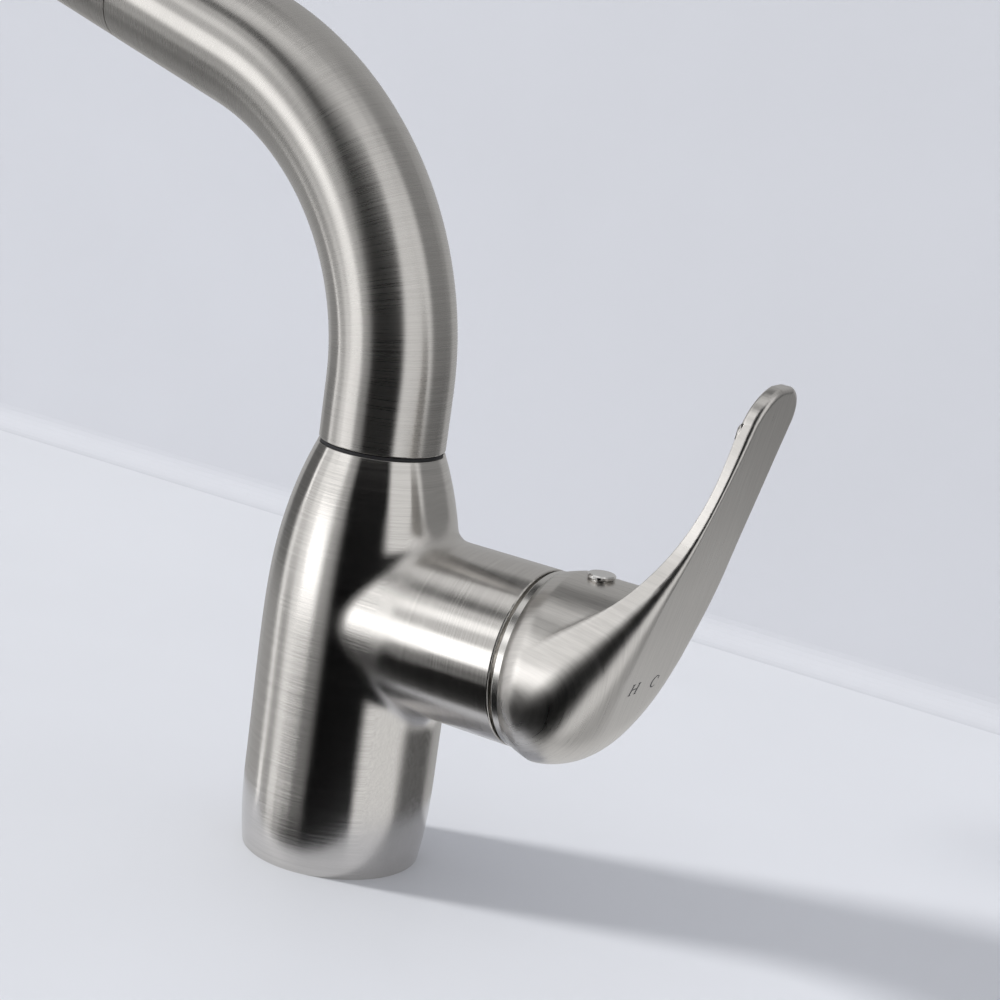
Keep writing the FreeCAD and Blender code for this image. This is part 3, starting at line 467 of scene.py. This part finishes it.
# What bright metal sees of the room: each card from bearing to bearing, seen from the object and
# counted from the camera towards its right, and from height to height, in degrees; then its
# brightness and soft edge. A card covers those before it.
CARDS = (
    (78, 132, -31, 60, 0.28, 8),       # grey wall behind, at the right
    (86, 134, -31, -4, 0.12, 5),       # and its dark foot
    (22, 78, -90, 48, 0.86, 6),        # lit wall at the right
    (-150, 60, 56, 74, 0.85, 5),       # bright strip of the ceiling
    (-150, -60, 44, 60, 0.80, 5),      # and of the wall at the left
    (-142, -112, -12, 44, 0.14, 4),    # dark post at the left
    (-110, -105, -32, 44, 1.50, 1),    # thin bright line beside it
    (-172, -118, 51, 66, 0.01, 2),     # dark beam over the post
    (-104, -48, -9, 44, 0.80, 4),      # window at the left
    (-78, -53, -12.5, 9, 2.3, 3),      # low white card
    (-90, -53, 23, 33, 1.7, 3),        # high white card
    (-100, -46, 43, 53, 0.10, 2),      # dark beam over the window
    (-150, -86, -58, -30, 0.22, 5),    # shaded floor at the left
    (-89, -77, -26, 38, 1.1, 3),       # tall white card
    (-66, 18, -90, -19, 0.01, 5),      # dark basin in front of the deck
    (-92, 18, -90, -29, 0.01, 3),      # and its bottom
    (-36, 24, -90, 52, 0.001, 6),      # dark doorway behind the camera
    (134, 210, -90, -24, 0.72, 6),     # lit deck behind, at the right
)
ROOM_GREY = (0.45, 0.45, 0.45)         # what it sees between the cards
ROOM_FILL = (0.605, 0.615, 0.64)       # light of the room on plain surfaces
ROOM_SEEN = (0.93, 0.94, 0.96)         # what the camera sees past the stage
CAMERA_BEARING = math.radians(-59.7)
DEGREES = 180 / math.pi
STAGE_REACH = 20.0
DECK_WHITE = (0.775, 0.785, 0.815)
DECK_FRONT = -0.036                    # metal sees the deck from this edge
DECK_NEAR = 0.060                      # to this far from the column
WALL_WHITE = (0.66, 0.668, 0.70)
WALL_Y, WALL_TOP = 0.290, 1.6
COVE_R, COVE_STEPS = 0.010, 8          # rounded foot of the wall


def strip(name, outline, surface):
    """Wide strip along X from (y, z) points, seen from its upper side only."""
    points = []
    faces = []
    for y, z in outline:
        points += [(-STAGE_REACH, y, z), (STAGE_REACH, y, z)]
    for i in range(len(outline) - 1):
        faces.append((2 * i, 2 * i + 1, 2 * i + 3, 2 * i + 2))
    mesh = bpy.data.meshes.new(name)
    mesh.from_pydata(points, [], faces)
    obj = placed(name, mesh, surface)
    return obj


def white_surface(name, base):
    """Glazed pale surface, open from behind; metal sees it only near the column."""
    made, g = material(name)
    cloud = g.noise(g.here(), scale=9.0)
    surface = g.node("BsdfPrincipled", {
        "Base Color": g.blend(g.steps(cloud, 0.35, 0.65), shade(base, 0.985), base),
        "Roughness": 0.40, "Specular IOR Level": 0.12})
    geometry = g.node("NewGeometry")
    x, y, _ = g.split(geometry.outputs["Position"])
    reach = g.math("SQRT", g.math("MULTIPLY_ADD", x, x, g.math("MULTIPLY", y, y)))
    beyond = g.math("MAXIMUM", g.math("LESS_THAN", y, DECK_FRONT),
                    g.math("GREATER_THAN", reach, DECK_NEAR))
    hidden = g.math("MULTIPLY", beyond, g.node("LightPath").outputs["Is Glossy Ray"])
    hidden = g.math("MAXIMUM", hidden, geometry.outputs["Backfacing"])
    g.finish(g.node("MixShader", {
        0: hidden, 1: surface.outputs[0], 2: g.node("BsdfTransparent").outputs[0]}))
    return made


def deck():
    """White deck with a plain wall behind it."""
    flat = [(-STAGE_REACH, 0.0), (STAGE_REACH, 0.0)]
    strip("deck", flat, white_surface("deck_white", DECK_WHITE))
    outline = []
    for i in range(COVE_STEPS + 1):
        a = math.radians(90 * i / COVE_STEPS)
        outline.append((WALL_Y - COVE_R + COVE_R * math.sin(a), COVE_R - COVE_R * math.cos(a)))
    wall = strip("wall", outline + [(WALL_Y, WALL_TOP)], white_surface("wall_white", WALL_WHITE))
    wall.visible_shadow = False


def studio_world():
    """Pale room for plain surfaces; glossy ones see the cards."""
    world = bpy.data.worlds.new("studio")
    scene.world = world
    g = Graph(world)
    ray = g.node("TexCoord").outputs["Generated"]
    cos, sin = math.cos(CAMERA_BEARING), math.sin(CAMERA_BEARING)
    ahead = g.vector("DOT_PRODUCT", ray, (cos, sin, 0))
    aside = g.vector("DOT_PRODUCT", ray, (-sin, cos, 0))
    bearing = g.math("MULTIPLY", g.math("ARCTAN2", aside, ahead), DEGREES)
    _, _, rise = g.split(ray)
    height = g.math("MULTIPLY", g.math("ARCSINE", rise), DEGREES)
    seen = ROOM_GREY
    for left, right, low, high, value, soft in CARDS:
        mask = g.math("MULTIPLY",
                      g.within(bearing, (left - soft, left + soft), (right - soft, right + soft)),
                      g.within(height, (low - soft, low + soft), (high - soft, high + soft)))
        seen = g.blend(mask, seen, (value, value, value))
    path = g.node("LightPath")
    plain = g.blend(path.outputs["Is Camera Ray"], ROOM_FILL, ROOM_SEEN)
    shown = g.blend(path.outputs["Is Glossy Ray"], plain, seen)
    g.finish(g.node("Background", {"Color": shown, "Strength": 1.0}), "OutputWorld")


def key_light():
    """Broad soft light from the left, even over the whole stage."""
    lamp = bpy.data.lights.new("key", "SUN")
    lamp.energy = 2.87
    lamp.angle = math.radians(8.6)
    obj = bpy.data.objects.new("key", lamp)
    obj.rotation_euler = Vector((1.86, 0.87, -0.94)).to_track_quat("-Z", "Y").to_euler()
    obj.visible_glossy = False
    scene.collection.objects.link(obj)


def photo_camera():
    """Camera at the photo's place; its directions are fitted to the photo."""
    lens = bpy.data.cameras.new("camera")
    lens.lens = 85.0
    lens.sensor_width = 36.0
    lens.clip_start = 0.01
    place = (0.34696, -0.527264, 0.257833)
    right = Vector((0.83836, 0.52733, 0.13808))
    up = Vector((-0.2389, 0.12775, 0.96261))
    back = Vector((0.49, -0.84, 0.2331))
    turn = Matrix((right, up, back)).transposed().to_4x4()
    camera = bpy.data.objects.new("camera", lens)
    camera.matrix_world = Matrix.Translation(place) @ turn
    scene.collection.objects.link(camera)
    scene.camera = camera


deck()
studio_world()
key_light()
photo_camera()
scene.view_settings.view_transform = "Standard"
